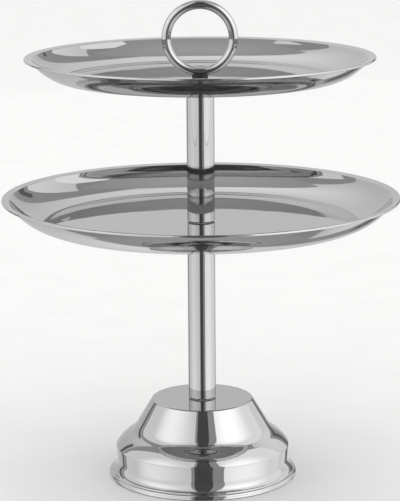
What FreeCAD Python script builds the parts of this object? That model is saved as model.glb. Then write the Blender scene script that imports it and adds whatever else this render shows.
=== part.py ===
import FreeCAD, Part
import math
import os

# Two-tier cake stand in polished stainless steel, in millimetres.
# +Z is up and the origin is the centre of the face that the base stands on.
# The stand screws together: a bolt from inside the base draws the lower tube down,
# a stud joins the lower tube to the upper tube through the lower plate, and the ring
# handle's stud holds the upper plate. Threads are M6, modelled as plain shafts and holes.

Vec = FreeCAD.Vector

# Base shell: one spun sheet, open underneath. A slope is the angle of the surface's
# outward direction above the horizontal, so the flat top's is 90 degrees.
BASE_HEIGHT = 60.0
BASE_SHEET = 1.0
BASE_TOP_RADIUS = 38.4          # where the flat top would meet the cone
TOP_SLOPE = 90.0
TOP_EDGE_ROUND = 2.0
CONE_SLOPE = 30.9
CONE_FOOT_HEIGHT = 39.7
WAIST_ROUND = 18.4              # hollow curve from the cone to the flattest slope
WAIST_SLOPE = 57.0
BELLY_ROUND = 36.0              # full curve from there to the shoulder
BELLY_SLOPE = 36.0
SHOULDER_ROUND = 3.0
WALL_SLOPE = -3.7
WALL_FOOT_HEIGHT = 12.6
FLARE_ROUND = 8.33              # hollow curve from the wall out to the rolled edge
FLARE_SLOPE = 58.0
BASE_EDGE_RADIUS = 72.0
BASE_EDGE_HEIGHT = 4.2
BASE_EDGE_TUCK = ((0.4, 0.6), (1.0, 0.0))   # in from the edge and up from the table

# Tubes and the threaded plugs pressed into their ends.
TUBE_RADIUS = 10.5
TUBE_WALL = 1.0
TUBE_CHAMFER = 0.6
LOWER_TUBE_LENGTH = 136.0
UPPER_TUBE_LENGTH = 107.0
PLUG_LENGTH = 14.0
PLUG_FIT = 0.01
PLUG_CHAMFER = 0.5

# M6 fasteners.
STUD_RADIUS = 3.0
THREAD_FIT = 0.05               # radial clearance between a stud and its threaded hole
CLEAR_HOLE_RADIUS = 3.3         # plain holes in plates, washers and the base
ENGAGEMENT = 10.0               # length of thread in mesh, ten turns of 1 mm pitch
STUD_CHAMFER = 0.6
BOLT_ACROSS_FLATS = 10.0
BOLT_HEAD_HEIGHT = 4.0
BOLT_HEAD_FACE = 5.0            # radius of the round left on the hexagon's lower face
BOLT_HEAD_CONE = 8.6            # radius of the same chamfer's cone at the head's other face

# Washers.
PLATE_WASHER_RADIUS = 9.6
PLATE_WASHER_THICK = 0.5
CLAMP_WASHER_RADIUS = 17.0
CLAMP_WASHER_THICK = 1.5
SPRING_WASHER_RADIUS = 5.9
SPRING_WASHER_THICK = 1.6
SPRING_WASHER_GAP = 1.0
SADDLE_RADIUS = 6.0
SADDLE_HEIGHT = 3.2
SADDLE_FIT = 0.15               # gap between the ring's bar and its seat in the washer
SADDLE_CHAMFER = 0.3
CLAMP_WASHER_CHAMFER = 0.2

# Plates: one spun sheet each, a flat floor, a curved wall and a narrow rolled rim.
PLATE_SHEET = 0.8
RIM_BEAD = 0.9                  # radius of the rolled edge
LIP_WIDTH = 5.4                 # from the top of the wall to the rim's outer edge
LIP_RISE = 0.8
CREASE_ANGLE = 11.0             # slope of the wall where it leaves the floor, in degrees
LOWER_PLATE_RADIUS = 150.0
LOWER_FLOOR_RADIUS = 117.0
LOWER_PLATE_DEPTH = 19.6
UPPER_PLATE_RADIUS = 131.0
UPPER_FLOOR_RADIUS = 101.5
UPPER_PLATE_DEPTH = 16.5
CLAMPED_RADIUS = 12.0           # the floor's clamped middle, a face apart from where food stands

# Ring handle.
RING_BAR_RADIUS = 3.5
RING_CENTRE_RADIUS = 25.0
RING_LIFT = 1.2                 # from the upper plate's floor to the ring's lowest point
WELD_SPIGOT_RADIUS = 2.0

# Construction allowances.
CUT_CLEAR = 1.0                 # how far a cutting shape runs past what it cuts
FUSE_OVERLAP = 1.0              # how far a joined shape reaches into its neighbour

# Heights up the stack, each from the one below.
LOWER_TUBE_FOOT = BASE_HEIGHT + PLATE_WASHER_THICK
LOWER_TUBE_TOP = LOWER_TUBE_FOOT + LOWER_TUBE_LENGTH
LOWER_PLATE_UNDER = LOWER_TUBE_TOP + PLATE_WASHER_THICK
LOWER_FLOOR = LOWER_PLATE_UNDER + PLATE_SHEET
UPPER_TUBE_FOOT = LOWER_FLOOR + PLATE_WASHER_THICK
UPPER_TUBE_TOP = UPPER_TUBE_FOOT + UPPER_TUBE_LENGTH
UPPER_PLATE_UNDER = UPPER_TUBE_TOP + PLATE_WASHER_THICK
UPPER_FLOOR = UPPER_PLATE_UNDER + PLATE_SHEET
RING_CENTRE = UPPER_FLOOR + RING_LIFT + RING_BAR_RADIUS + RING_CENTRE_RADIUS
CLAMP_WASHER_UNDER = BASE_HEIGHT - BASE_SHEET - CLAMP_WASHER_THICK
SPRING_WASHER_UNDER = CLAMP_WASHER_UNDER - SPRING_WASHER_THICK


def at(point):
    """A point of a profile, radius and height, on the XZ plane."""
    return Vec(point[0], 0, point[1])


def line(start, end):
    return Part.LineSegment(at(start), at(end)).toShape()


def arc(start, through, end):
    return Part.Arc(at(start), at(through), at(end)).toShape()


def spin(edges):
    """The solid that a closed profile sweeps out round the Z axis."""
    wire = Part.Wire(Part.__sortEdges__(edges))
    return Part.Face(wire).revolve(Vec(0, 0, 0), Vec(0, 0, 1), 360)


def rod(radius, low, high):
    return Part.makeCylinder(radius, high - low, Vec(0, 0, low))


def chamfered_rod(radius, low, high, chamfer, hole_radius=0.0):
    """A turned rod or sleeve with both outer ends chamfered."""
    outline = [
        (hole_radius, low),
        (radius - chamfer, low),
        (radius, low + chamfer),
        (radius, high - chamfer),
        (radius - chamfer, high),
        (hole_radius, high),
    ]
    return spin([line(a, b) for a, b in zip(outline, outline[1:] + outline[:1])])


def flat_washer(radius, hole_radius, low, thick):
    hole = rod(hole_radius, low - CUT_CLEAR, low + thick + CUT_CLEAR)
    return rod(radius, low, low + thick).cut(hole)


def point_on(centre, radius, angle):
    """The point at an angle in degrees, from straight down, round a profile circle."""
    turn = math.radians(angle)
    return (centre[0] + radius * math.sin(turn), centre[1] - radius * math.cos(turn))


def plate(rim_radius, floor_radius, floor, depth):
    """A spun plate: flat floor, wall curving up from a crease, narrow lip, rolled rim."""
    rim_top = floor + depth
    wall_top = (rim_radius - LIP_WIDTH, rim_top - LIP_RISE)
    run = wall_top[0] - floor_radius
    rise = wall_top[1] - floor
    last_angle = 2 * math.degrees(math.atan2(rise, run)) - CREASE_ANGLE
    mean_angle = (CREASE_ANGLE + last_angle) / 2
    spread = math.sin(math.radians(last_angle)) - math.sin(math.radians(CREASE_ANGLE))
    wall_radius = run / spread
    first = math.radians(CREASE_ANGLE)
    centre = (
        floor_radius - wall_radius * math.sin(first),
        floor + wall_radius * math.cos(first),
    )
    under_radius = wall_radius + PLATE_SHEET
    crease_under = math.sqrt(under_radius ** 2 - (centre[1] - floor + PLATE_SHEET) ** 2)
    wall_start_under = (centre[0] + crease_under, floor - PLATE_SHEET)
    wall_end_under = point_on(centre, under_radius, last_angle)
    bead = (rim_radius - RIM_BEAD, rim_top - RIM_BEAD)
    last_bead_angle = -90 - math.degrees(math.asin((RIM_BEAD - PLATE_SHEET) / RIM_BEAD))
    return spin([
        line((CLEAR_HOLE_RADIUS, floor - PLATE_SHEET), (CLEAR_HOLE_RADIUS, floor)),
        line((CLEAR_HOLE_RADIUS, floor), (CLAMPED_RADIUS, floor)),
        line((CLAMPED_RADIUS, floor), (floor_radius, floor)),
        arc((floor_radius, floor), point_on(centre, wall_radius, mean_angle), wall_top),
        line(wall_top, point_on(bead, RIM_BEAD, 180)),
        arc(
            point_on(bead, RIM_BEAD, 180),
            point_on(bead, RIM_BEAD, 90),
            point_on(bead, RIM_BEAD, 0),
        ),
        arc(
            point_on(bead, RIM_BEAD, 0),
            point_on(bead, RIM_BEAD, last_bead_angle / 2),
            point_on(bead, RIM_BEAD, last_bead_angle),
        ),
        line(point_on(bead, RIM_BEAD, last_bead_angle), wall_end_under),
        arc(wall_end_under, point_on(centre, under_radius, mean_angle), wall_start_under),
        line(wall_start_under, (CLEAR_HOLE_RADIUS, floor - PLATE_SHEET)),
    ])


def lower_plate():
    return plate(LOWER_PLATE_RADIUS, LOWER_FLOOR_RADIUS, LOWER_FLOOR, LOWER_PLATE_DEPTH)


def upper_plate():
    return plate(UPPER_PLATE_RADIUS, UPPER_FLOOR_RADIUS, UPPER_FLOOR, UPPER_PLATE_DEPTH)


def facing(slope):
    """The direction, radius and height, that a surface of some slope faces."""
    return (math.cos(math.radians(slope)), math.sin(math.radians(slope)))


def bent(point, first, last, radius):
    """Where a curve of the base ends that starts at a point and turns from one slope to another.

    A hollow curve has a growing slope and a full one a falling slope.
    """
    side = radius if last > first else -radius
    start, end = facing(first), facing(last)
    return (point[0] + side * (start[0] - end[0]), point[1] + side * (start[1] - end[1]))


def down_to(point, height, slope):
    """The point at some height straight down the surface."""
    out, up = facing(slope)
    return (point[0] + (point[1] - height) * up / out, height)


def base_surface(inset):
    """The spun base's outer surface, or the inner one that lies a sheet's thickness in.

    It runs down from the middle of the top to the upper end of the rolled edge.
    """
    reach = TOP_EDGE_ROUND * math.tan(math.radians((TOP_SLOPE - CONE_SLOPE) / 2))
    top_edge = (BASE_TOP_RADIUS - reach, BASE_HEIGHT)
    cone_head = bent(top_edge, TOP_SLOPE, CONE_SLOPE, TOP_EDGE_ROUND)
    cone_foot = down_to(cone_head, CONE_FOOT_HEIGHT, CONE_SLOPE)
    waist_foot = bent(cone_foot, CONE_SLOPE, WAIST_SLOPE, WAIST_ROUND)
    belly_foot = bent(waist_foot, WAIST_SLOPE, BELLY_SLOPE, BELLY_ROUND)
    wall_head = bent(belly_foot, BELLY_SLOPE, WALL_SLOPE, SHOULDER_ROUND)
    wall_foot = down_to(wall_head, WALL_FOOT_HEIGHT, WALL_SLOPE)
    curves = (
        (top_edge, TOP_SLOPE, CONE_SLOPE, TOP_EDGE_ROUND),
        (cone_foot, CONE_SLOPE, WAIST_SLOPE, WAIST_ROUND),
        (waist_foot, WAIST_SLOPE, BELLY_SLOPE, BELLY_ROUND),
        (belly_foot, BELLY_SLOPE, WALL_SLOPE, SHOULDER_ROUND),
        (wall_foot, WALL_SLOPE, FLARE_SLOPE, FLARE_ROUND),
    )
    edges = []
    at_point = (CLEAR_HOLE_RADIUS, BASE_HEIGHT - inset)
    for start, first, last, radius in curves:
        middle = (first + last) / 2
        through = bent(start, first, middle, radius)
        end = bent(start, first, last, radius)
        start_in, through_in, end_in = [
            (point[0] - inset * facing(slope)[0], point[1] - inset * facing(slope)[1])
            for point, slope in ((start, first), (through, middle), (end, last))
        ]
        if math.dist(at_point, start_in) > inset / 1000 + 1e-6:
            edges.append(line(at_point, start_in))
        edges.append(arc(start_in, through_in, end_in))
        at_point = end_in
    return edges, at_point


def base_shell():
    outer, outer_end = base_surface(0.0)
    inner, inner_end = base_surface(BASE_SHEET)
    edge_round = BASE_EDGE_HEIGHT / 2
    edge_x = BASE_EDGE_RADIUS - edge_round
    foot_in = (inner_end[0], 0.0)
    tuck_high, tuck_low = [(BASE_EDGE_RADIUS - x, z) for x, z in BASE_EDGE_TUCK]
    lift = edge_round * math.sin(math.radians(45))
    return spin(outer + inner + [
        line(outer_end, (edge_x, BASE_EDGE_HEIGHT)),
        arc(
            (edge_x, BASE_EDGE_HEIGHT),
            (edge_x + lift, edge_round + lift),
            (BASE_EDGE_RADIUS, edge_round),
        ),
        line((BASE_EDGE_RADIUS, edge_round), tuck_high),
        line(tuck_high, tuck_low),
        line(tuck_low, foot_in),
        line(foot_in, inner_end),
        line((CLEAR_HOLE_RADIUS, BASE_HEIGHT - BASE_SHEET), (CLEAR_HOLE_RADIUS, BASE_HEIGHT)),
    ])


def tube(low, length):
    return chamfered_rod(TUBE_RADIUS, low, low + length, TUBE_CHAMFER, TUBE_RADIUS - TUBE_WALL)


def plug(low):
    """A threaded insert pressed into a tube's end, open right through."""
    radius = TUBE_RADIUS - TUBE_WALL - PLUG_FIT
    return chamfered_rod(radius, low, low + PLUG_LENGTH, PLUG_CHAMFER, STUD_RADIUS + THREAD_FIT)


def joining_stud():
    """Fixed in the lower tube's top plug, it stands up through the lower plate."""
    low = LOWER_TUBE_TOP - PLUG_LENGTH
    return chamfered_rod(STUD_RADIUS, low, UPPER_TUBE_FOOT + ENGAGEMENT, STUD_CHAMFER)


def base_bolt():
    """Hexagon-head bolt that comes up from inside the base."""
    head_low = SPRING_WASHER_UNDER - BOLT_HEAD_HEIGHT
    corner = BOLT_ACROSS_FLATS / 2 / math.cos(math.radians(30))
    turns = [math.radians(60 * i) for i in range(7)]
    corners = [Vec(corner * math.cos(a), corner * math.sin(a), head_low) for a in turns]
    head = Part.Face(Part.makePolygon(corners)).extrude(Vec(0, 0, BOLT_HEAD_HEIGHT))
    taper = Part.makeCone(BOLT_HEAD_FACE, BOLT_HEAD_CONE, BOLT_HEAD_HEIGHT, Vec(0, 0, head_low))
    tip = LOWER_TUBE_FOOT + ENGAGEMENT
    shank = chamfered_rod(STUD_RADIUS, head_low + FUSE_OVERLAP, tip, STUD_CHAMFER)
    return head.common(taper).fuse(shank).removeSplitter()


def spring_washer():
    """Split lock washer, its ends a narrow gap apart."""
    ring = flat_washer(
        SPRING_WASHER_RADIUS, CLEAR_HOLE_RADIUS, SPRING_WASHER_UNDER, SPRING_WASHER_THICK
    )
    gap = Part.makeBox(
        SPRING_WASHER_RADIUS + CUT_CLEAR,
        SPRING_WASHER_GAP,
        SPRING_WASHER_THICK + 2 * CUT_CLEAR,
        Vec(0, -SPRING_WASHER_GAP / 2, SPRING_WASHER_UNDER - CUT_CLEAR),
    )
    return ring.cut(gap)


def ring_torus(bar_radius):
    return Part.makeTorus(RING_CENTRE_RADIUS, bar_radius, Vec(0, 0, RING_CENTRE), Vec(0, 1, 0))


def ring_bar_middle():
    """Height of the middle of the bar at the ring's lowest point."""
    return RING_CENTRE - RING_CENTRE_RADIUS


def ring_handle():
    """Round bar bent into a ring, drilled from below for the stud's welded end."""
    below = ring_bar_middle() - RING_BAR_RADIUS - CUT_CLEAR
    return ring_torus(RING_BAR_RADIUS).cut(rod(WELD_SPIGOT_RADIUS, below, ring_bar_middle()))


def handle_stud():
    """Stud coped to the ring's bar, with a spigot welded into it."""
    tip = UPPER_TUBE_TOP - ENGAGEMENT
    shaft = chamfered_rod(STUD_RADIUS, tip, ring_bar_middle(), STUD_CHAMFER)
    coped = shaft.cut(ring_torus(RING_BAR_RADIUS))
    lowest = min(coped.Solids, key=lambda solid: solid.BoundBox.ZMin)
    spigot = rod(WELD_SPIGOT_RADIUS, tip + FUSE_OVERLAP, ring_bar_middle())
    return lowest.fuse(spigot).removeSplitter()


def saddle_washer():
    """Black washer under the ring, hollowed across its top to take the bar."""
    blank = chamfered_rod(
        SADDLE_RADIUS, UPPER_FLOOR, UPPER_FLOOR + SADDLE_HEIGHT, SADDLE_CHAMFER, CLEAR_HOLE_RADIUS
    )
    return blank.cut(ring_torus(RING_BAR_RADIUS + SADDLE_FIT))


def plate_washer(low):
    return flat_washer(PLATE_WASHER_RADIUS, CLEAR_HOLE_RADIUS, low, PLATE_WASHER_THICK)


def clamp_washer():
    """Wide steel washer that spreads the bolt's pull under the base's top."""
    return chamfered_rod(
        CLAMP_WASHER_RADIUS,
        CLAMP_WASHER_UNDER,
        CLAMP_WASHER_UNDER + CLAMP_WASHER_THICK,
        CLAMP_WASHER_CHAMFER,
        CLEAR_HOLE_RADIUS,
    )


def pieces():
    """Every piece of the stand by name, from the base up."""
    return {
        "base_shell": base_shell(),
        "base_bolt": base_bolt(),
        "base_spring_washer": spring_washer(),
        "base_clamp_washer": clamp_washer(),
        "lower_tube_foot_washer": plate_washer(BASE_HEIGHT),
        "lower_tube": tube(LOWER_TUBE_FOOT, LOWER_TUBE_LENGTH),
        "lower_tube_bottom_plug": plug(LOWER_TUBE_FOOT),
        "lower_tube_top_plug": plug(LOWER_TUBE_TOP - PLUG_LENGTH),
        "joining_stud": joining_stud(),
        "lower_plate_under_washer": plate_washer(LOWER_TUBE_TOP),
        "lower_plate": lower_plate(),
        "upper_tube_foot_washer": plate_washer(LOWER_FLOOR),
        "upper_tube": tube(UPPER_TUBE_FOOT, UPPER_TUBE_LENGTH),
        "upper_tube_bottom_plug": plug(UPPER_TUBE_FOOT),
        "upper_tube_top_plug": plug(UPPER_TUBE_TOP - PLUG_LENGTH),
        "upper_plate_under_washer": plate_washer(UPPER_TUBE_TOP),
        "upper_plate": upper_plate(),
        "handle_saddle_washer": saddle_washer(),
        "handle_stud": handle_stud(),
        "ring_handle": ring_handle(),
    }


os.makedirs("parts", exist_ok=True)
for name, shape in pieces().items():
    solid = shape.Solids[0]
    box = solid.optimalBoundingBox(False)
    print("%-26s volume %9.1f  z %7.2f to %7.2f" % (name, solid.Volume, box.ZMin, box.ZMax))
    solid.exportStep("parts/%s.step" % name)
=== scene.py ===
"""Two-tier cake stand in polished stainless steel, staged for a still picture."""
import math

import bpy
from bpy.props import FloatProperty, FloatVectorProperty, IntProperty, PointerProperty
from bpy.types import Operator, Panel, PropertyGroup
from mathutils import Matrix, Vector


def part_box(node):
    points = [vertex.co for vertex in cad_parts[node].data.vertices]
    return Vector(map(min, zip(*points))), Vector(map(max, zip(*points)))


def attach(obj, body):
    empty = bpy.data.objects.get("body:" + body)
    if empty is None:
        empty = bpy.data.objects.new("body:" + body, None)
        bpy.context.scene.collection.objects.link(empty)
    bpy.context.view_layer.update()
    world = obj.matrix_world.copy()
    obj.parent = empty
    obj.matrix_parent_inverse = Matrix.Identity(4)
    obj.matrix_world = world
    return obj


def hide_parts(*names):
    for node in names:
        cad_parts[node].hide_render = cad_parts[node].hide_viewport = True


bl_info = {
    "name": "Two-tier cake stand",
    "version": (1, 0, 0),
    "blender": (4, 5, 0),
    "location": "View3D > Sidebar > Cake Stand",
    "description": "Builds a two-tier cake stand in polished steel on its studio stage",
    "category": "Add Mesh",
}

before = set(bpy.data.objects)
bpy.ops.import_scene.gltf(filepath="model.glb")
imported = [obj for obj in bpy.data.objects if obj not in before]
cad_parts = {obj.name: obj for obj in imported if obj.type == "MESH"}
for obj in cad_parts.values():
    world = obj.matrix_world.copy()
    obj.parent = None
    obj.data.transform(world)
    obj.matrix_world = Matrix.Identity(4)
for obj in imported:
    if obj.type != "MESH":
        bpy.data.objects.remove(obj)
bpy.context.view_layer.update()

MM = 0.001
MERGE_REACH = MM / 1000
CUT_REACH = MM / 10000

# The angle, in degrees, up to which two faces are shaded as one: along the bends of a sheet,
# over a thread's flanks, and round a small edge or a bar.
SHEET_ANGLE = 24
THREAD_ANGLE = 30
ROUND_ANGLE = 40

BASE_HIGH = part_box("base_shell")[1]
LOWER_PLATE_LOW, LOWER_PLATE_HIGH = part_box("lower_plate")
UPPER_PLATE_LOW, UPPER_PLATE_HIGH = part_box("upper_plate")
RING_LOW, RING_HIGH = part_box("ring_handle")


def linear(code):
    """The linear colour of an sRGB hex code such as "C8C9CB"."""
    parts = [int(code[i:i + 2], 16) / 255 for i in (0, 2, 4)]
    return [p / 12.92 if p <= 0.04045 else ((p + 0.055) / 1.055) ** 2.4 for p in parts]


# ---------------------------------------------------------------------------
# Sizes and colours that a user may change
# ---------------------------------------------------------------------------


def length(name, description, default):
    """A size in metres that a user may change."""
    return FloatProperty(
        name=name, description=description, default=default, min=0.0, precision=5, unit="LENGTH"
    )


def colour(name, description, code):
    """A colour that a user may change, given as an sRGB hex code."""
    return FloatVectorProperty(
        name=name, description=description, default=linear(code), min=0.0, max=1.0,
        size=3, subtype="COLOR",
    )


class CakeStandSizes(PropertyGroup):
    """Sizes of the stand's pieces."""

    around: IntProperty(
        name="Facets round", description="Facets round each turned piece", default=256, min=32
    )
    plate_sheet: length("Plate sheet", "Thickness of the plates' sheet", 0.8 * MM)
    lower_floor_radius: length("Lower floor", "Radius of the lower plate's flat floor", 117 * MM)
    upper_floor_radius: length("Upper floor", "Radius of the upper plate's flat floor", 101.5 * MM)
    crease_angle: FloatProperty(
        name="Crease", description="Slope of the plates' wall where it leaves the floor",
        default=math.radians(11), subtype="ANGLE",
    )
    crease_round: length(
        "Crease rounding", "Reach of the soft bend between floor and wall", 2.2 * MM
    )
    lip_width: length("Lip width", "From the top of the wall to the rim's edge", 5.4 * MM)
    lip_rise: length("Lip rise", "How far the lip climbs to the rim", 0.8 * MM)
    rim_bead: length("Rim bead", "Radius of the plates' rolled edge", 0.9 * MM)
    clear_hole: length("Clear hole", "Radius of the plain holes for the studs", 3.3 * MM)
    base_sheet: length("Base sheet", "Thickness of the base's sheet", 1.0 * MM)
    base_edge: length("Base edge", "Height of the base's rolled edge", 4.2 * MM)
    tube_wall: length("Tube wall", "Thickness of the tubes' wall", 1.0 * MM)
    tube_chamfer: length("Tube chamfer", "Width of the chamfer at the tubes' ends", 0.6 * MM)
    ring_bar: length("Ring bar", "Radius of the round bar the ring is bent from", 3.5 * MM)
    thread_pitch: length("Thread pitch", "Rise of the studs' thread in one turn", 1.0 * MM)
    thread_depth: length("Thread depth", "Depth of the studs' thread", 0.55 * MM)
    bolt_flats: length("Bolt flats", "Across the flats of the bolt's hexagon", 10 * MM)
    bolt_head: length("Bolt head", "Height of the bolt's hexagon", 4 * MM)
    washer_edge: length("Washer edge", "Rounding of the punched washers' edges", 0.15 * MM)


class CakeStandColours(PropertyGroup):
    """Colours of the stand's finishes and of its stage."""

    steel: colour("Polished steel", "Reflected colour of the polished stainless steel", "BEBEBE")
    satin: colour("Satin steel", "Reflected colour of the unpolished inside of the base", "A9A9A8")
    zinc: colour("Zinc plating", "Colour of the zinc-plated fasteners", "B4B6BA")
    natural: colour("Natural nylon", "Colour of the flat washers", "CFCDC4")
    nylon: colour("Black nylon", "Colour of the moulded washer under the ring", "17171A")
    floor: colour("Floor", "Colour of the pale table top", "FBFBFA")


# ---------------------------------------------------------------------------
# Modelling helpers
# ---------------------------------------------------------------------------


def new_point(name, radius, height):
    """A new object in edit mode that is one vertex, the start of a profile on the XZ plane."""
    bpy.ops.object.select_all(action="DESELECT")
    bpy.ops.mesh.primitive_circle_add(vertices=3, radius=MM)
    piece = bpy.context.object
    piece.name = piece.data.name = name
    bpy.ops.object.mode_set(mode="EDIT")
    bpy.ops.mesh.select_mode(type="VERT")
    bpy.ops.mesh.select_all(action="SELECT")
    bpy.ops.mesh.merge(type="CENTER")
    bpy.ops.transform.translate(value=(radius, 0, height))
    return piece


class Profile:
    """A closed outline drawn by extruding one vertex along, then spun round the Z axis."""

    def __init__(self, name, radius, height):
        self.piece = new_point(name, radius, height)
        self.start = self.at = Vector((radius, 0, height))

    def line(self, radius, height, hold=0.0):
        """A straight run, with a vertex close to each end where hold is given."""
        end = Vector((radius, 0, height))
        run = end - self.at
        stops = [end]
        if hold and run.length > 3 * hold:
            step = run.normalized() * hold
            stops = [self.at + step, end - step, end]
        for stop in stops:
            bpy.ops.mesh.extrude_region_move(TRANSFORM_OT_translate={"value": stop - self.at})
            self.at = stop
        return self

    def arc(self, centre, degrees, steps):
        """Part of a circle round a centre, radius and height; a positive turn is clockwise."""
        middle = Vector((centre[0], 0, centre[1]))
        turn = math.radians(degrees)
        bpy.ops.mesh.spin(steps=steps, angle=-turn, center=middle, axis=(0, 1, 0))
        arm = self.at - middle
        self.at = middle + Vector((
            arm.x * math.cos(turn) + arm.z * math.sin(turn),
            0,
            arm.z * math.cos(turn) - arm.x * math.sin(turn),
        ))
        return self

    def bend(self, first, last, radius, steps):
        """A curve from one slope to another in degrees; its radius is below zero if it bulges."""
        turn = math.radians(first)
        middle = (self.at.x + radius * math.cos(turn), self.at.z + radius * math.sin(turn))
        return self.arc(middle, first - last, steps)

    def close(self, hold=0.0):
        """A straight run back to the outline's first point."""
        return self.line(self.start.x, self.start.z, hold)

    def soften(self, radius, height, reach, steps):
        """Rounds a corner of the finished outline."""
        corner = Vector((radius, 0, height))
        bpy.ops.mesh.select_all(action="SELECT")
        bpy.ops.mesh.remove_doubles(threshold=MERGE_REACH)
        pick(self.piece, "VERT", lambda vert: (vert.co - corner).length < MM / 50)
        bpy.ops.mesh.bevel(offset=reach, segments=steps, affect="VERTICES", profile=0.5)
        return self

    def turn(self, around):
        """Spins the outline into a solid of revolution and leaves edit mode."""
        bpy.ops.mesh.select_all(action="SELECT")
        bpy.ops.mesh.remove_doubles(threshold=MERGE_REACH)
        bpy.ops.mesh.spin(steps=around, angle=2 * math.pi, center=(0, 0, 0), axis=(0, 0, 1))
        tidy_up()
        if not self.piece.data.polygons:
            raise RuntimeError(self.piece.name + " came out with no surface")
        return self.piece


def pick(piece, kind, wanted):
    """Selects in edit mode the vertices, edges or faces that a test picks."""
    bpy.ops.mesh.select_mode(type=kind)
    bpy.ops.mesh.select_all(action="DESELECT")
    bpy.ops.object.mode_set(mode="OBJECT")
    mesh = piece.data
    for part in {"VERT": mesh.vertices, "EDGE": mesh.edges, "FACE": mesh.polygons}[kind]:
        part.select = bool(wanted(part))
    bpy.ops.object.mode_set(mode="EDIT")


def tidy_up():
    """Merges doubled vertices, points every face outwards and leaves edit mode."""
    bpy.ops.mesh.select_all(action="SELECT")
    bpy.ops.mesh.remove_doubles(threshold=MERGE_REACH)
    bpy.ops.mesh.normals_make_consistent(inside=False)
    bpy.ops.object.mode_set(mode="OBJECT")


def smooth(piece, degrees):
    """Smooth shading, broken at edges sharper than an angle."""
    bpy.ops.object.select_all(action="DESELECT")
    piece.select_set(True)
    bpy.context.view_layer.objects.active = piece
    bpy.ops.object.shade_smooth_by_angle(angle=math.radians(degrees))


def paint(piece, finish, wanted):
    """Gives the faces that a test picks the finish with some number on the piece."""
    bpy.context.view_layer.objects.active = piece
    bpy.ops.object.mode_set(mode="EDIT")
    pick(piece, "FACE", wanted)
    piece.active_material_index = finish
    bpy.ops.object.material_slot_assign()
    bpy.ops.object.mode_set(mode="OBJECT")


def combine(piece, other, how):
    """Joins, or keeps what is common to, two closed solids; the other one is used up."""
    bpy.ops.object.select_all(action="DESELECT")
    piece.select_set(True)
    bpy.context.view_layer.objects.active = piece
    modifier = piece.modifiers.new("Combine", "BOOLEAN")
    modifier.operation, modifier.object, modifier.solver = how, other, "EXACT"
    bpy.ops.object.modifier_apply(modifier=modifier.name)
    bpy.data.objects.remove(other)
    if not piece.data.polygons:
        raise RuntimeError(piece.name + " came out with no surface")
    return piece


def turned(name, points, around=48):
    """A solid turned to an outline of points, each a radius and a height.

    The outline starts and ends on the axis, so it isn't closed: a line along the axis would
    leave a sliver there.
    """
    outline = Profile(name, *points[0])
    for point in points[1:]:
        outline.line(*point)
    return outline.turn(around)


# One turn of a rolled thread seen from the side, flat by flat and flank by flank: 1 goes out to
# the crest, 0 stays and -1 goes in to the root, then how far it climbs, in pitches.
THREAD_SHAPE = ((0, 0.12), (1, 0.32), (0, 0.12), (-1, 0.32), (0, 0.12))
THREAD_STEPS = 40


def threaded_rod(name, radius, low, high, chamfer, sizes):
    """A rod with a rolled thread and chamfered ends.

    The helix starts two turns low and ends as far above, so both cuts pass through whole thread.
    """
    pitch, root = sizes.thread_pitch, radius - sizes.thread_depth
    rod = new_point(name, root, low - 2 * pitch)
    for way, climb in THREAD_SHAPE:
        step = (way * (radius - root), 0, climb * pitch)
        bpy.ops.mesh.extrude_region_move(TRANSFORM_OT_translate={"value": step})
    bpy.ops.object.mode_set(mode="OBJECT")
    thread = rod.modifiers.new("Thread", "SCREW")
    thread.axis, thread.screw_offset, thread.angle = "Z", pitch, 2 * math.pi
    thread.steps = thread.render_steps = THREAD_STEPS
    thread.iterations = math.ceil((high - low) / pitch) + 4
    bpy.ops.object.modifier_apply(modifier=thread.name)
    bpy.ops.object.mode_set(mode="EDIT")
    bpy.ops.mesh.select_all(action="SELECT")
    bpy.ops.mesh.remove_doubles(threshold=MERGE_REACH)
    for height, side in ((low, "clear_inner"), (high, "clear_outer")):
        bpy.ops.mesh.select_all(action="SELECT")
        bpy.ops.mesh.bisect(
            plane_co=(0, 0, height), plane_no=(0, 0, 1), threshold=CUT_REACH,
            use_fill=True, **{side: True}
        )
    tidy_up()
    blank = turned(name + "_blank", [
        (0, low - MM), (radius - chamfer - MM, low - MM), (radius + MM, low + chamfer + MM),
        (radius + MM, high - chamfer - MM), (radius - chamfer - MM, high + MM), (0, high + MM),
    ])
    return combine(rod, blank, "INTERSECT")


def settle(piece, body, slot, *nodes):
    """Puts a finished piece on its body, in place of the frame's own nodes."""
    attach(piece, body)
    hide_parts(*nodes)


# ---------------------------------------------------------------------------
# Finishes
# ---------------------------------------------------------------------------


def add(tree, kind, settings=None, links=None):
    """Adds a node, gives it its settings and joins its inputs to other nodes' outputs."""
    made = tree.nodes.new(kind)
    for key, value in (settings or {}).items():
        if isinstance(key, int) or key in made.inputs:
            made.inputs[key].default_value = value
        else:
            setattr(made, key, value)
    for key, source in (links or {}).items():
        tree.links.new(source, made.inputs[key])
    return made


def new_finish(name):
    """An empty node material."""
    finish = bpy.data.materials.new(name)
    finish.use_nodes = True
    finish.node_tree.nodes.clear()
    return finish, finish.node_tree


def mottle(tree, place, size, detail=3.0, contrast=(0.35, 0.65), to=(0.0, 1.0)):
    """Soft patches of some size in metres, whose values are spread between two limits."""
    grain = add(
        tree, "ShaderNodeTexNoise", {"Scale": 1 / size, "Detail": detail, "Roughness": 0.55},
        {"Vector": place},
    )
    return add(
        tree, "ShaderNodeMapRange",
        {"From Min": contrast[0], "From Max": contrast[1], "To Min": to[0], "To Max": to[1]},
        {"Value": grain.outputs["Fac"]},
    ).outputs["Result"]


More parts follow.
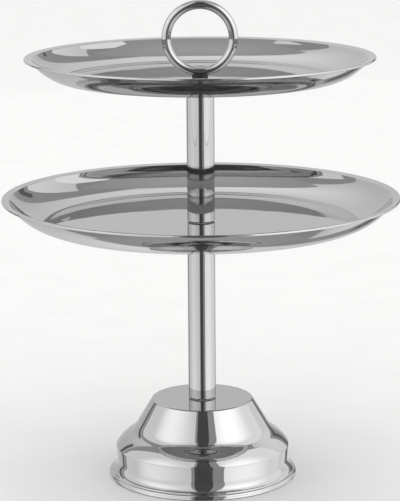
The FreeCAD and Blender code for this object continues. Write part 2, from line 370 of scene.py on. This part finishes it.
def ridges(tree, place, lines, gap):
    """Fine parallel lines: rings round the column's axis, or lines that run along it."""
    if lines == "round":
        flat = add(
            tree, "ShaderNodeVectorMath", {"operation": "MULTIPLY", 1: (1, 1, 0)}, {0: place}
        )
        away = add(tree, "ShaderNodeVectorMath", {"operation": "LENGTH"}, {0: flat.outputs[0]})
        height = add(tree, "ShaderNodeSeparateXYZ", links={0: place}).outputs["Z"]
        across = add(
            tree, "ShaderNodeMath", {"operation": "SUBTRACT"},
            {0: away.outputs["Value"], 1: height},
        ).outputs[0]
    else:
        across = add(tree, "ShaderNodeSeparateXYZ", links={0: place}).outputs["Z"]
    return add(
        tree, "ShaderNodeTexNoise",
        {"noise_dimensions": "1D", "Scale": 1 / gap, "Detail": 3.0, "Roughness": 0.6},
        {"W": across},
    ).outputs["Fac"]


def finish_metal(tree, tint, rough, normal, patches=None):
    """A bare metal surface; the patches' values darken it a little where they are high.

    Its finest scratches scatter a little light, so it is a shade less than wholly metallic.
    """
    links = {"Roughness": rough, "Normal": normal}
    if patches is not None:
        mixed = add(
            tree, "ShaderNodeMix", {"data_type": "RGBA", 6: (*tint, 1),
                                    7: (*[0.8 * part for part in tint], 1)}, {0: patches}
        )
        links["Base Color"] = mixed.outputs[2]
    shader = add(
        tree, "ShaderNodeBsdfPrincipled", {"Base Color": (*tint, 1), "Metallic": 0.95}, links
    )
    add(tree, "ShaderNodeOutputMaterial", links={"Surface": shader.outputs[0]})


def buffed_steel(name, tint, lines):
    """Stainless steel buffed to a mirror. The wheel leaves lines too fine to see one by one.

    The lines are drawn 0.8 mm apart, coarser than they are, so that they show as a faint haze,
    and the sheet keeps a trace of the long soft waves that spinning or drawing leaves in it.
    """
    finish, tree = new_finish(name)
    place = add(tree, "ShaderNodeTexCoord").outputs["Object"]
    both = add(
        tree, "ShaderNodeMath", {"operation": "MULTIPLY"},
        {0: ridges(tree, place, lines, 0.8 * MM), 1: mottle(tree, place, 40 * MM, detail=4.0)},
    )
    rough = add(
        tree, "ShaderNodeMapRange", {"From Max": 0.6, "To Min": 0.012, "To Max": 0.05},
        {"Value": both.outputs[0]},
    )
    waves = add(
        tree, "ShaderNodeBump", {"Distance": 0.012 * MM, "Strength": 1.0},
        {"Height": mottle(tree, place, 22 * MM, detail=1.0)},
    )
    finish_metal(tree, tint, rough.outputs["Result"], waves.outputs["Normal"])
    return finish


def spun_steel(name, tint):
    """Stainless steel left as the spinner's roller leaves it: a soft satin with fine rings.

    The rings are drawn 0.9 mm apart, as coarse as they need to be to show.
    """
    finish, tree = new_finish(name)
    place = add(tree, "ShaderNodeTexCoord").outputs["Object"]
    rings = ridges(tree, place, "round", 0.9 * MM)
    rough = add(
        tree, "ShaderNodeMapRange", {"To Min": 0.24, "To Max": 0.42}, {"Value": rings}
    )
    patches = mottle(tree, place, 14 * MM, detail=4.0, contrast=(0.45, 0.75))
    grooves = add(
        tree, "ShaderNodeBump", {"Distance": 0.03 * MM, "Strength": 1.0}, {"Height": rings}
    )
    finish_metal(tree, tint, rough.outputs["Result"], grooves.outputs["Normal"], patches)
    return finish


def zinc_plate(name, tint):
    """Bright zinc electroplate on turned steel: a milky shine with a faint clouding."""
    finish, tree = new_finish(name)
    place = add(tree, "ShaderNodeTexCoord").outputs["Object"]
    rough = mottle(tree, place, 1.6 * MM, detail=5.0, contrast=(0.3, 0.7), to=(0.2, 0.38))
    grain = add(
        tree, "ShaderNodeBump", {"Distance": 0.01 * MM, "Strength": 1.0},
        {"Height": mottle(tree, place, 0.5 * MM, detail=2.0)},
    )
    patches = mottle(tree, place, 4 * MM, detail=4.0, contrast=(0.45, 0.7))
    finish_metal(tree, tint, rough, grain.outputs["Normal"], patches)
    return finish


def nylon_sheet(name, tint, clear):
    """Nylon, moulded or punched from sheet: a waxy sheen over the fine grain of its mould.

    Uncoloured nylon lets some light through, so light spreads under its surface.
    """
    finish, tree = new_finish(name)
    place = add(tree, "ShaderNodeTexCoord").outputs["Object"]
    rough = mottle(tree, place, 0.8 * MM, detail=4.0, contrast=(0.3, 0.7), to=(0.36, 0.52))
    grain = add(
        tree, "ShaderNodeBump", {"Distance": 0.02 * MM, "Strength": 1.0},
        {"Height": mottle(tree, place, 0.35 * MM, detail=2.0)},
    )
    shade = add(
        tree, "ShaderNodeMix", {"data_type": "RGBA", 6: (*tint, 1),
                                7: (*[0.82 * part for part in tint], 1)},
        {0: mottle(tree, place, 2.5 * MM, detail=4.0)},
    )
    settings = {"IOR": 1.53}
    if clear:
        settings |= {"Subsurface Weight": 0.4, "Subsurface Radius": (1, 0.9, 0.7),
                     "Subsurface Scale": 1.5 * MM}
    shader = add(
        tree, "ShaderNodeBsdfPrincipled", settings,
        {"Base Color": shade.outputs[2], "Roughness": rough, "Normal": grain.outputs["Normal"]},
    )
    add(tree, "ShaderNodeOutputMaterial", links={"Surface": shader.outputs[0]})
    return finish


def matt_laminate(name, tint):
    """Pale matt laminate of the table top, with the faint mottle of its paper."""
    finish, tree = new_finish(name)
    place = add(tree, "ShaderNodeTexCoord").outputs["Object"]
    shade = add(
        tree, "ShaderNodeMix", {"data_type": "RGBA", 6: (*tint, 1),
                                7: (*[0.975 * part for part in tint], 1)},
        {0: mottle(tree, place, 60 * MM, detail=5.0)},
    )
    shader = add(
        tree, "ShaderNodeBsdfPrincipled", {"Specular IOR Level": 0.2},
        {"Base Color": shade.outputs[2],
         "Roughness": mottle(tree, place, 2 * MM, detail=2.0, to=(0.7, 0.85))},
    )
    add(tree, "ShaderNodeOutputMaterial", links={"Surface": shader.outputs[0]})
    return finish


def lit_cloth(name, glow, edge, hot, spread):
    """White diffuser cloth lit from behind by one lamp, so it is brightest in front of it.

    The same cloth with almost no light behind it is a dark flag.
    """
    finish, tree = new_finish(name)
    place = add(tree, "ShaderNodeTexCoord").outputs["Object"]
    away = add(tree, "ShaderNodeVectorMath", {"operation": "DISTANCE", 1: hot}, {0: place})
    strength = add(
        tree, "ShaderNodeMapRange",
        {"interpolation_type": "SMOOTHSTEP", "From Max": spread, "To Min": glow, "To Max": edge},
        {"Value": away.outputs["Value"]},
    )
    shader = add(
        tree, "ShaderNodeEmission", {"Color": (1, 1, 1, 1)},
        {"Strength": strength.outputs["Result"]},
    )
    add(tree, "ShaderNodeOutputMaterial", links={"Surface": shader.outputs[0]})
    return finish


def table_polish(tint):
    """The table top's gloss as the steel sees it, almost a mirror from low down."""
    finish, tree = new_finish("Table top gloss")
    place = add(tree, "ShaderNodeTexCoord").outputs["Object"]
    shader = add(
        tree, "ShaderNodeBsdfPrincipled",
        {"Base Color": (*[0.95 * part for part in tint], 1), "Metallic": 1.0},
        {"Roughness": mottle(tree, place, 60 * MM, detail=2.0, to=(0.05, 0.09))},
    )
    add(tree, "ShaderNodeOutputMaterial", links={"Surface": shader.outputs[0]})
    return finish


# ---------------------------------------------------------------------------
# Pieces
# ---------------------------------------------------------------------------


def make_plate(name, body, rim_radius, rim_top, underside, floor_radius, sizes):
    """One spun plate: flat floor, wall curving up from a soft crease, narrow lip, rolled rim."""
    sheet, bead = sizes.plate_sheet, sizes.rim_bead
    floor = underside + sheet
    wall_top = (rim_radius - sizes.lip_width, rim_top - sizes.lip_rise)
    run, rise = wall_top[0] - floor_radius, wall_top[1] - floor
    first = sizes.crease_angle
    last = 2 * math.atan2(rise, run) - first
    wall_radius = run / (math.sin(last) - math.sin(first))
    centre = (floor_radius - wall_radius * math.sin(first), floor + wall_radius * math.cos(first))
    under_radius = wall_radius + sheet
    under_first = math.acos((centre[1] - underside) / under_radius)
    under_end = (
        centre[0] + under_radius * math.sin(last), centre[1] - under_radius * math.cos(last)
    )
    bead_middle = (rim_radius - bead, rim_top - bead)
    reach = sizes.crease_round
    wall_steps, bead_steps, bead_turn, crease_steps = 10, 30, 276, 6
    outline = Profile(name + "_steel", sizes.clear_hole, floor)
    outline.line(floor_radius, floor, hold=reach * 1.2)
    outline.arc(centre, -math.degrees(last - first), wall_steps)
    outline.line(bead_middle[0], rim_top, hold=0.6 * MM)
    outline.arc(bead_middle, bead_turn, bead_steps)
    outline.line(*under_end, hold=0.3 * MM)
    outline.arc(centre, math.degrees(last - under_first), wall_steps)
    outline.line(sizes.clear_hole, underside, hold=reach * 1.2)
    outline.close()
    outline.soften(floor_radius, floor, reach, crease_steps)
    under_crease = centre[0] + under_radius * math.sin(under_first)
    outline.soften(under_crease, underside, reach, crease_steps)
    outline.soften(*wall_top, 0.5 * MM, 4)
    outline.soften(*under_end, 0.25 * MM, 3)
    plate = outline.turn(sizes.around)
    smooth(plate, SHEET_ANGLE)
    settle(plate, body, "mirror_steel", name)
    return plate


class CAKESTAND_OT_plates(Operator):
    """Makes the two spun plates"""

    bl_idname = "cake_stand.plates"
    bl_label = "Plates"

    def execute(self, context):
        sizes, colours = context.scene.cake_stand_sizes, context.scene.cake_stand_colours
        steel = buffed_steel("Spun stainless steel, buffed", colours.steel, "round")
        for name, body, low, high, floor_radius in (
            ("lower_plate", "lower_column", LOWER_PLATE_LOW, LOWER_PLATE_HIGH,
             sizes.lower_floor_radius),
            ("upper_plate", "upper_column", UPPER_PLATE_LOW, UPPER_PLATE_HIGH,
             sizes.upper_floor_radius),
        ):
            plate = make_plate(name, body, high.x, high.z, low.z, floor_radius, sizes)
            plate.data.materials.append(steel)
        return {"FINISHED"}


# The base's surface from the top's edge down, one curve after another: the slope it leaves and
# the slope it reaches, in degrees that the surface faces above the horizontal, its radius in
# millimetres, below zero where it bulges, and the height, also in millimetres, that a straight
# run comes down to before the curve, or nought where there is no straight run.
BASE_TOP_EDGE = 37.266
BASE_CURVES = (
    (90.0, 30.9, -2.0, 0.0),
    (30.9, 57.0, 18.4, 39.7),
    (57.0, 36.0, -36.0, 0.0),
    (36.0, -3.7, -3.0, 0.0),
    (-3.7, 58.0, 8.33, 12.6),
)
OUTER_STEPS = 12
INNER_STEPS = 10

# The rolled edge's lower corner is cut off between a point some way in from the widest place
# and up from the table, and the outer edge of the ring that the base stands on.
CORNER_INSET = 0.4 * MM
CORNER_HEIGHT = 0.6 * MM
STANDING_INSET = 1.0 * MM

# Faces farther out than this belong to the rolled edge, which is buffed all round.
BUFFED_RADIUS = 70 * MM


def within(point, slope, inset):
    """The radius and height of the inner surface behind a point of the outer one."""
    turn = math.radians(slope)
    return point.x - inset * math.cos(turn), point.z - inset * math.sin(turn)


def inside_base(face, sheet):
    """Whether a face is on the inside of the base, which the buffing wheel doesn't reach."""
    away = Vector((face.center.x, face.center.y, 0))
    towards = face.normal.dot(away.normalized()) < 0.05 or face.normal.z < -0.3
    return towards and face.normal.z < 0.7 and away.length < BUFFED_RADIUS and not (
        face.center.z > BASE_HIGH.z - sheet * 0.5
    )


class CAKESTAND_OT_base(Operator):
    """Makes the spun base, open underneath"""

    bl_idname = "cake_stand.base"
    bl_label = "Base"

    def execute(self, context):
        sizes, colours = context.scene.cake_stand_sizes, context.scene.cake_stand_colours
        top, sheet, edge = BASE_HIGH.z, sizes.base_sheet, sizes.base_edge
        outline = Profile("base_shell_steel", sizes.clear_hole, top)
        outline.line(BASE_TOP_EDGE * MM, top, hold=1.2 * MM)
        runs = []
        for first, last, radius, lowest in BASE_CURVES:
            if lowest:
                drop = outline.at.z - lowest * MM
                foot = outline.at.x + drop * math.tan(math.radians(first))
                outline.line(foot, lowest * MM, hold=1.0 * MM)
            outline.bend(first, last, radius * MM, OUTER_STEPS)
            runs.append((first, last, radius * MM, outline.at))
        inner_foot = within(outline.at, last, sheet)[0]
        rim = BASE_HIGH.x
        outline.line(rim - edge / 2, edge, hold=0.1 * MM)
        outline.arc((rim - edge / 2, edge / 2), 90, 10)
        outline.line(rim - CORNER_INSET, CORNER_HEIGHT)
        outline.line(rim - STANDING_INSET, 0.0)
        outline.line(inner_foot, 0.0)
        for first, last, radius, end in reversed(runs):
            outline.line(*within(end, last, sheet), hold=1.0 * MM)
            outline.bend(last, first, radius + sheet, INNER_STEPS)
        outline.line(sizes.clear_hole, top - sheet, hold=1.0 * MM)
        outline.close()
        outline.soften(rim - STANDING_INSET, 0.0, 0.3 * MM, 3)
        outline.soften(inner_foot, 0.0, 0.4 * MM, 4)
        base = outline.turn(sizes.around)
        smooth(base, SHEET_ANGLE)
        base.data.materials.append(
            buffed_steel("Spun stainless steel base, buffed", colours.steel, "round")
        )
        base.data.materials.append(
            spun_steel("Spun stainless steel, left as spun", colours.satin)
        )
        paint(base, 1, lambda face: inside_base(face, sheet))
        settle(base, "base", "mirror_steel", "base_shell")
        return {"FINISHED"}


class CAKESTAND_OT_tubes(Operator):
    """Makes the two tubes of the column"""

    bl_idname = "cake_stand.tubes"
    bl_label = "Tubes"

    def execute(self, context):
        sizes, colours = context.scene.cake_stand_sizes, context.scene.cake_stand_colours
        steel = buffed_steel("Drawn stainless steel tube, buffed", colours.steel, "along")
        for name, body in (("lower_tube", "lower_column"), ("upper_tube", "upper_column")):
            low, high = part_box(name)
            outside, chamfer = high.x, sizes.tube_chamfer
            inside = outside - sizes.tube_wall
            outline = Profile(name + "_steel", inside, low.z)
            outline.line(outside - chamfer, low.z)
            outline.line(outside, low.z + chamfer)
            outline.line(outside, high.z - chamfer, hold=0.3 * MM)
            outline.line(outside - chamfer, high.z)
            outline.line(inside, high.z)
            outline.close(hold=0.3 * MM)
            tube = outline.turn(sizes.around // 2)
            smooth(tube, SHEET_ANGLE)
            tube.data.materials.append(steel)
            settle(tube, body, "mirror_steel", name)
        return {"FINISHED"}


# Facets round the bar's own section, and round the whole ring.
BAR_FACETS = 48
RING_FACETS = 192


class CAKESTAND_OT_ring_handle(Operator):
    """Bends the round bar into the ring that the stand is carried by"""

    bl_idname = "cake_stand.ring_handle"
    bl_label = "Ring handle"

    def execute(self, context):
        sizes, colours = context.scene.cake_stand_sizes, context.scene.cake_stand_colours
        middle = Vector((0, 0, RING_HIGH.z - RING_HIGH.x))
        bar = sizes.ring_bar
        bend = RING_HIGH.x - bar
        bpy.ops.object.select_all(action="DESELECT")
        bpy.ops.mesh.primitive_circle_add(vertices=BAR_FACETS, radius=bar)
        ring = bpy.context.object
        ring.name = ring.data.name = "ring_handle_bar"
        bpy.ops.object.mode_set(mode="EDIT")
        bpy.ops.mesh.select_all(action="SELECT")
        bpy.ops.transform.translate(value=(bend, 0, middle.z))
        bpy.ops.mesh.spin(
            steps=RING_FACETS, angle=2 * math.pi, center=(0, 0, middle.z), axis=(0, 1, 0)
        )
        tidy_up()
        smooth(ring, ROUND_ANGLE)
        ring.data.materials.append(
            buffed_steel("Stainless steel bar, hand buffed", colours.steel, "along")
        )
        settle(ring, "handle", "mirror_steel", "ring_handle")
        return {"FINISHED"}


def dress(node, finish):
    """Gives one of the frame's own nodes a finish."""
    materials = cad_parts[node].data.materials
    materials.clear()
    materials.append(finish)


class CAKESTAND_OT_washers(Operator):
    """Makes the flat washers and finishes the moulded one under the ring"""

    bl_idname = "cake_stand.washers"
    bl_label = "Washers"

    def execute(self, context):
        sizes, colours = context.scene.cake_stand_sizes, context.scene.cake_stand_colours
        natural = nylon_sheet("Natural nylon sheet, punched", colours.natural, clear=True)
        for node, body in (
            ("lower_tube_foot_washer", "lower_foot_washer"),
            ("lower_plate_under_washer", "lower_column"),
            ("upper_tube_foot_washer", "upper_foot_washer"),
            ("upper_plate_under_washer", "upper_column"),
        ):
            low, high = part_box(node)
            outline = Profile(node + "_nylon", sizes.clear_hole, low.z)
            for radius, height in (
                (high.x, low.z), (high.x, high.z), (sizes.clear_hole, high.z)
            ):
                outline.line(radius, height)
            outline.close()
            outline.soften(high.x, low.z, sizes.washer_edge, 3)
            outline.soften(high.x, high.z, sizes.washer_edge, 3)
            washer = outline.turn(sizes.around // 2)
            smooth(washer, ROUND_ANGLE)
            washer.data.materials.append(natural)
            settle(washer, body, "natural_nylon", node)
        moulded = nylon_sheet("Black nylon, moulded", colours.nylon, clear=False)
        dress("handle_saddle_washer", moulded)
        return {"FINISHED"}


# The chamfer at a thread's ends, and how far a threaded shaft runs into the ring's bar and into
# the bolt's head.
STUD_CHAMFER = 0.5 * MM
WELD_OVERLAP = 1.2 * MM
HEAD_OVERLAP = 0.5 * MM


class CAKESTAND_OT_fasteners(Operator):
    """Makes the threaded studs and the bolt, and finishes the plugs, springs and clamps"""

    bl_idname = "cake_stand.fasteners"
    bl_label = "Fasteners"

    def execute(self, context):
        sizes, colours = context.scene.cake_stand_sizes, context.scene.cake_stand_colours
        zinc = zinc_plate("Zinc-plated steel, turned", colours.zinc)
        stud_low, stud_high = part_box("joining_stud")
        bolt_low, bolt_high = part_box("base_bolt")
        head_top = bolt_low.z + sizes.bolt_head
        for node, body, low, high in (
            ("joining_stud", "lower_column", stud_low.z, stud_high.z),
            ("handle_stud", "handle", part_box("handle_stud")[0].z, RING_LOW.z + WELD_OVERLAP),
            ("base_bolt", "base", head_top - HEAD_OVERLAP, bolt_high.z),
        ):
            stud = threaded_rod(node + "_zinc", stud_high.x, low, high, STUD_CHAMFER, sizes)
            if node == "base_bolt":
                combine(stud, hexagon_head(bolt_low.z, head_top, sizes), "UNION")
            smooth(stud, THREAD_ANGLE)
            stud.data.materials.clear()
            stud.data.materials.append(zinc)
            settle(stud, body, "zinc_steel", node)
        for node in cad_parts:
            if any(word in node for word in ("plug", "spring", "clamp")):
                dress(node, zinc)
        return {"FINISHED"}


def hexagon_head(low, high, sizes):
    """A bolt's hexagon, its lower corners chamfered on the lathe."""
    across = sizes.bolt_flats
    face = across / 2 * 0.97
    chamfer_top = low + 3.3 * MM
    bpy.ops.object.select_all(action="DESELECT")
    bpy.ops.mesh.primitive_cylinder_add(
        vertices=6, radius=across / 2 / math.cos(math.radians(30)), depth=high - low,
        location=(0, 0, (low + high) / 2),
    )
    bpy.ops.transform.rotate(
        value=math.radians(30), orient_axis="Z", center_override=(0, 0, (low + high) / 2)
    )
    bpy.ops.object.transform_apply()
    head = bpy.context.object
    blank = turned("hexagon_blank", [
        (0, low - MM), (face, low - MM), (face, low),
        (across, chamfer_top), (across, high + MM), (0, high + MM),
    ])
    return combine(head, blank, "INTERSECT")


# ---------------------------------------------------------------------------
# Stage
# ---------------------------------------------------------------------------


# The soft lights and the dark flags stand upright round the stand. Each has the direction that
# it faces from, in degrees clockwise from the back, and in metres its distance and its left,
# right, lower and upper edges. Then come its glow in the brightest place and far from it, and in
# metres where that place is, across and up, and how far the glow spreads.
LIGHTS = (
    ("back_cloth", -12, 2.2, -1.75, 1.27, 0.0, 4.6, 1.25, 0.68, 0.0, 3.0, 2.9),
    ("back_side_cloth", 45, 2.2, -0.42, 0.46, 0.0, 2.6, 1.15, 0.95, 0.0, 1.2, 1.6),
    ("left_light", -135, 1.6, -0.92, 9.5, 0.0, 4.4, 1.70, 1.05, 0.7, 1.3, 1.8),
    ("right_light", 128, 1.6, -8.0, 0.70, 0.0, 5.0, 2.05, 1.30, -0.2, 1.3, 1.8),
    ("camera_flag", 180, 1.2, -0.28, 0.23, 0.0, 3.2, 0.07, 0.07, 0.0, 1.0, 1.0),
    ("left_edge_flag", -46, 2.0, -0.10, 0.10, 0.0, 1.1, 0.15, 0.15, 0.0, 1.0, 1.0),
    ("right_edge_flag", 27, 2.0, -0.10, 0.10, 0.0, 1.1, 0.15, 0.15, 0.0, 1.0, 1.0),
)

# The ceiling cloth's glow, and in metres how far that glow spreads, its size and its place.
CEILING_GLOW = 0.6
CEILING_SPREAD = 2.0
CEILING_SIZE = (3.4, 2.8)
CEILING_PLACE = (0, 0.5, 3.2)

# How bright the white room is where the steel reflects it.
DIM_ROOM = 0.42

# The table top, and how far below it the sheet lies that the steel reflects in its place.
FLOOR_RADIUS = 4.0
FLOOR_FACETS = 128
SHINE_DROP = 1 * MM

# The camera stands in front of the stand, in metres. It looks down and is rolled by some
# degrees, and is turned aside by a hair, in radians. Its lens is in millimetres.
CAMERA_PLACE = (0, -1.5929, 0.5148)
CAMERA_DROP = 12.04
CAMERA_ROLL = -0.40
CAMERA_ASIDE = 0.0006
CAMERA_LENS = 154.39


def flat_light(name, across, up, place, turn, finish):
    """A flat sheet of some size that shows only in reflections."""
    bpy.ops.object.select_all(action="DESELECT")
    bpy.ops.mesh.primitive_plane_add(size=1, location=place, rotation=turn)
    light = bpy.context.object
    light.name = light.data.name = name
    light.scale = (across, up, 1)
    bpy.ops.object.transform_apply(location=False, rotation=False, scale=True)
    light.data.materials.append(finish)
    light.visible_camera = light.visible_diffuse = light.visible_shadow = False
    light.visible_transmission = False


class CAKESTAND_OT_stage(Operator):
    """Sets the table top, the studio light and the camera"""

    bl_idname = "cake_stand.stage"
    bl_label = "Stage"

    def execute(self, context):
        scene = context.scene
        colours = scene.cake_stand_colours
        scene.view_settings.view_transform = "Standard"
        world = bpy.data.worlds.new("Studio")
        scene.world = world
        world.use_nodes = True
        tree = world.node_tree
        tree.nodes.clear()
        path = add(tree, "ShaderNodeLightPath")
        shades = add(
            tree, "ShaderNodeMapRange", {"To Min": 1.0, "To Max": DIM_ROOM},
            {"Value": path.outputs["Is Glossy Ray"]},
        )
        room = add(
            tree, "ShaderNodeBackground", {"Color": (1, 1, 1, 1)},
            {"Strength": shades.outputs["Result"]},
        )
        add(tree, "ShaderNodeOutputWorld", links={"Surface": room.outputs[0]})

        bpy.ops.object.select_all(action="DESELECT")
        bpy.ops.mesh.primitive_circle_add(
            vertices=FLOOR_FACETS, radius=FLOOR_RADIUS, fill_type="NGON"
        )
        floor = context.object
        floor.name = "table_top"
        floor.data.materials.append(matt_laminate("Pale laminate", colours.floor))
        floor.visible_glossy = False

        for (name, azimuth, reach, left, right, low, high,
             glow, edge, hot_across, hot_up, spread) in LIGHTS:
            turn = math.radians(azimuth)
            out = Vector((math.sin(turn), math.cos(turn), 0))
            along = Vector((math.cos(turn), -math.sin(turn), 0))
            middle = ((left + right) / 2, (low + high) / 2)
            place = out * reach + along * middle[0] + Vector((0, 0, middle[1]))
            hot = (hot_across - middle[0], hot_up - middle[1], 0)
            cloth = lit_cloth("Diffuser cloth, " + name.replace("_", " "), glow, edge, hot, spread)
            flat_light(name, right - left, high - low, place, (math.pi / 2, 0, -turn), cloth)
        ceiling = lit_cloth(
            "Diffuser cloth, ceiling", CEILING_GLOW, 0.8 * CEILING_GLOW, (0, 0, 0),
            CEILING_SPREAD,
        )
        flat_light("ceiling_cloth", *CEILING_SIZE, CEILING_PLACE, (0, 0, 0), ceiling)
        flat_light(
            "table_shine", 2 * FLOOR_RADIUS, 2 * FLOOR_RADIUS, (0, 0, -SHINE_DROP), (0, 0, 0),
            table_polish(colours.floor),
        )

        bpy.ops.object.camera_add(
            location=CAMERA_PLACE,
            rotation=(math.radians(90 - CAMERA_DROP), 0, CAMERA_ASIDE),
        )
        camera = context.object
        camera.name = "Camera"
        camera.rotation_euler.rotate_axis("Z", math.radians(CAMERA_ROLL))
        camera.data.lens = CAMERA_LENS
        camera.data.clip_end = 50
        scene.camera = camera
        return {"FINISHED"}


class CAKESTAND_PT_sidebar(Panel):
    """Lists the steps that build the stand"""

    bl_label = "Cake Stand"
    bl_idname = "CAKESTAND_PT_sidebar"
    bl_space_type = "VIEW_3D"
    bl_region_type = "UI"
    bl_category = "Cake Stand"

    def draw(self, context):
        for step in STEPS:
            self.layout.operator(step.bl_idname)


STEPS = (
    CAKESTAND_OT_stage,
    CAKESTAND_OT_base,
    CAKESTAND_OT_tubes,
    CAKESTAND_OT_plates,
    CAKESTAND_OT_ring_handle,
    CAKESTAND_OT_washers,
    CAKESTAND_OT_fasteners,
)
CLASSES = (CakeStandSizes, CakeStandColours, *STEPS, CAKESTAND_PT_sidebar)


def register():
    for cls in CLASSES:
        bpy.utils.register_class(cls)
    bpy.types.Scene.cake_stand_sizes = PointerProperty(type=CakeStandSizes)
    bpy.types.Scene.cake_stand_colours = PointerProperty(type=CakeStandColours)


def unregister():
    del bpy.types.Scene.cake_stand_colours
    del bpy.types.Scene.cake_stand_sizes
    for cls in reversed(CLASSES):
        bpy.utils.unregister_class(cls)


def main():
    register()
    bpy.ops.cake_stand.stage()
    bpy.ops.cake_stand.base()
    bpy.ops.cake_stand.tubes()
    bpy.ops.cake_stand.plates()
    bpy.ops.cake_stand.ring_handle()
    bpy.ops.cake_stand.washers()
    bpy.ops.cake_stand.fasteners()


if __name__ == "__main__":
    main()
